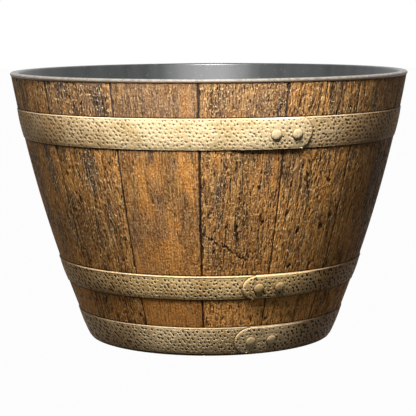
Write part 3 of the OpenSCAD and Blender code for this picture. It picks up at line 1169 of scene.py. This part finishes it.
# %% Set the rivets in the laps
for name, h in HOOPS.items():
    pair = []
    for side in (-1, 1):
        place, normal, sideways, up = on_rivet(h, side)
        one = twin(rivet)
        one.matrix_world = Matrix.Translation(place) @ Matrix((sideways, up, normal)).transposed().to_4x4()
        pair.append(one)
    activate(*pair)
    ops.object.join()
    ops.object.transform_apply()
    heads = bpy.context.object
    heads.name = "brass_" + name + "_rivets"
    BRASS[name].paint(heads)
    ops.object.shade_smooth_by_angle(angle=math.radians(40))
    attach(heads, "tub")
    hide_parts(name + "_rivets")
    print(heads.name, len(heads.data.vertices), "vertices")
bpy.data.objects.remove(rivet)

# %% [markdown]
# ## Liner
# The liner is one moulded shell, 1.6 mm thick, with a rolled lip that hangs it on the staves. It
# is drawn as the outline of its section, its corners are rounded, and it is turned once round
# the axis, as its mould would be; then the drain holes are cut.

# %% Draw the liner's section
LINER_WALL, LINER_GAP, LINER_Z = 0.0016, 0.0003, 0.030
LIP_LOW, LIP_H, LIP_OUT = 0.3432, 0.005, 0.2600
LINER_OUT, LIP_TOP = -STAVE_T - LINER_GAP, LIP_LOW + LIP_H
LINER_ROWS, LINER_STEPS, FLOOR_BEND = 800, 256, 0.016
# height, least radius, size and steps of each rounding
CORNERS = [
    (LINER_Z, 0.1, 0.0096, 6), (LINER_Z + LINER_WALL, 0.1, 0.0085, 6),
    (LIP_TOP, 0.2595, 0.0024, 5), (LIP_LOW, 0.2595, 0.0024, 5), (LIP_TOP, 0.24, 0.0022, 4),
]


def pull(obj, chosen, *moves):
    """Extrudes the chosen vertex along each move in turn."""
    edit(obj, vertices=chosen)
    for move in moves:
        extrude(*move)
    return done(obj)


def liner_side(z_low, z_high, out):
    """One face of the liner's wall, with the floor drawn in to the axis."""
    side = bow_wire(LINER_ROWS, z_low, z_high, out)
    _, _, z, _ = places(side)
    edit(side, vertices=(z > z_low + TOUCH) & (z < z_low + FLOOR_BEND))
    ops.mesh.dissolve_verts()
    done(side)
    _, _, z, co = places(side)
    return pull(side, z < z_low + TOUCH, (0, float(-co[z.argmin(), 1]), 0))


def top_y(obj):
    _, _, z, co = places(obj)
    return float(co[z.argmax(), 1])


skin = liner_side(LINER_Z, LIP_LOW, LINER_OUT)
inner = liner_side(LINER_Z + LINER_WALL, LIP_TOP, LINER_OUT - LINER_WALL)
pull(skin, places(skin)[2] > LIP_LOW - TOUCH,
     (0, -LIP_OUT - top_y(skin), 0), (0, 0, LIP_H), (0, top_y(inner) + LIP_OUT, 0))
activate(skin, inner)
ops.object.join()
edit(skin)
ops.mesh.remove_doubles(threshold=TOUCH)
done(skin)
for corner_z, least_r, offset, parts in CORNERS:
    r, _, z, _ = places(skin)
    inside_lip = (r < 0.2555) & (z != LIP_LOW)
    edit(skin, vertices=(np.abs(z - corner_z) < TOUCH) & (r > least_r) & ((least_r > 0.25) | inside_lip))
    ops.mesh.bevel(offset=offset, segments=parts, affect="VERTICES")
    done(skin)
print("liner section:", len(skin.data.vertices), "vertices")

# %% Turn the liner and drill it
DRAIN_R, HOLE_X, HOLE_Y = 0.006, 0.06625, 0.038
HOLES = [(0, 0), (0, 2 * HOLE_Y), (0, -2 * HOLE_Y)]
HOLES += [(sx * HOLE_X, sy * HOLE_Y) for sx in (-1, 1) for sy in (-1, 1)]

liner = weld(ring(skin, LINER_STEPS))
liner.name = "moulded_liner"
cylinder = ops.mesh.primitive_cylinder_add
drills = [
    add(cylinder, vertices=40, radius=DRAIN_R, depth=0.01, location=(x, y, LINER_Z)) for x, y in HOLES
]
activate(*drills)
ops.object.join()
cut = liner.modifiers.new("drain_holes", "BOOLEAN")
cut.operation, cut.object = "DIFFERENCE", drills[0]
activate(liner)
ops.object.modifier_apply(modifier=cut.name)
bpy.data.objects.remove(drills[0])
ops.object.shade_smooth_by_angle(angle=math.radians(35))
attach(liner, "liner")
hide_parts("liner")
print("liner:", len(liner.data.polygons), "faces, top", mm(places(liner)[2].max()), "mm")

# %% [markdown]
# ## Liner finish
# Moulded shells come out smooth and half glossy, with faint streaks down the wall where the
# plastic flowed. The lip is where hands, tools and sacks rub, so it is worn pale and matt.

# %% Mix the liner finish
plastic = Finish("liner_plastic")
spot = plastic.place()
level = plastic.parts(spot)[2]
flow = plastic.noise(spot, (60, 60, 5), 3)
scuff = plastic.noise(spot, (240, 240, 240), 3)
flat = plastic.stretch(spot, (1, 1, 0))
reach = plastic.vectors("LENGTH", {0: flat}, out=1)
lip = plastic.step(level, 0.3432, 0.3440) * plastic.step(reach, 0.2572, 0.2590)
pale = plastic.mix(plastic.step(scuff, 0.42, 0.66) * 0.7, rgb(106, 99, 89), rgb(70, 60, 50))
grey = plastic.coats(
    rgb(28, 30, 30),
    (plastic.step(flow, 0.3, 0.7), rgb(38, 39, 39)),
    (plastic.step(scuff, 0.62, 0.8) * 0.3, rgb(120, 118, 112)),
    (lip, plastic.mix(plastic.fall(level, 0.3444, 0.3462), pale, rgb(112, 86, 60))),
)
plastic.set(Base_Color=grey, Roughness=lip * 0.3 + flow * 0.08 + 0.26)
plastic.paint(liner)
print("liner finish:", len(plastic.tree.nodes), "nodes")

# %% [markdown]
# ## Head and dowels
# The bottom is seen only from below or with the liner out: sawn boards that stay bare, with the
# growth rings cut at a slant and a saw's fine kerf marks across, pinned by turned dowels. The
# frame's own solids have the right shape, so they only get finishes.

# %% Mix the sawn and the turned wood
low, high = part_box("head_board_3")
BOARD_W = float(high[0] - low[0])
sawn = Finish("head_wood")
spot = sawn.place()
which = sawn.maths("FLOOR", sawn.parts(spot)[0] / BOARD_W + 0.5)
at = sawn.apart(spot, which, (2.7, 4.1, 0.03))
rings = sawn.node("ShaderNodeTexWave", {"wave_type": "BANDS", "bands_direction": "X"}, {
    "Vector": sawn.stretch(at, (1, 0.06, 0.5)),
    "Scale": 34, "Distortion": 5, "Detail": 2, "Detail Scale": 20})
kerf = sawn.noise(at, (8, 520, 8), 2)
stain = sawn.noise(at, (14, 5, 5), 3, twist=1)
colour = sawn.coats(
    rgb(160, 124, 82),
    (sawn.step(rings, 0.25, 0.85), rgb(128, 92, 56)),
    (sawn.step(stain, 0.48, 0.68) * 0.6, rgb(92, 72, 52)),
    (sawn.step(kerf, 0.5, 0.7) * 0.3, rgb(84, 62, 40)),
)
sawn.set(Base_Color=colour, Roughness=stain * 0.2 + 0.65, Specular_IOR_Level=0.2,
         Normal=sawn.bump(0.6, 0.0008, kerf * 0.6 + rings * 0.4))

turned = Finish("dowel_wood")
spot = turned.place()
strand = turned.noise(spot, (24, 900, 900), 3)
ring_mark = turned.noise(spot, (1500, 40, 40), 1)
turned.set(
    Base_Color=turned.mix(turned.step(strand, 0.4, 0.7) * 0.7, rgb(196, 164, 120), rgb(150, 112, 72)),
    Roughness=strand * 0.2 + 0.55,
    Normal=turned.bump(0.4, 0.0003, strand * 0.5 + ring_mark * 0.5),
)
for part in frame["record"]["subparts"]:
    for finish in (sawn, turned):
        if part["material_slot"] == finish.material.name:
            finish.paint(frame["nodes"][part["node"]])
print("bare wood on head and dowels")
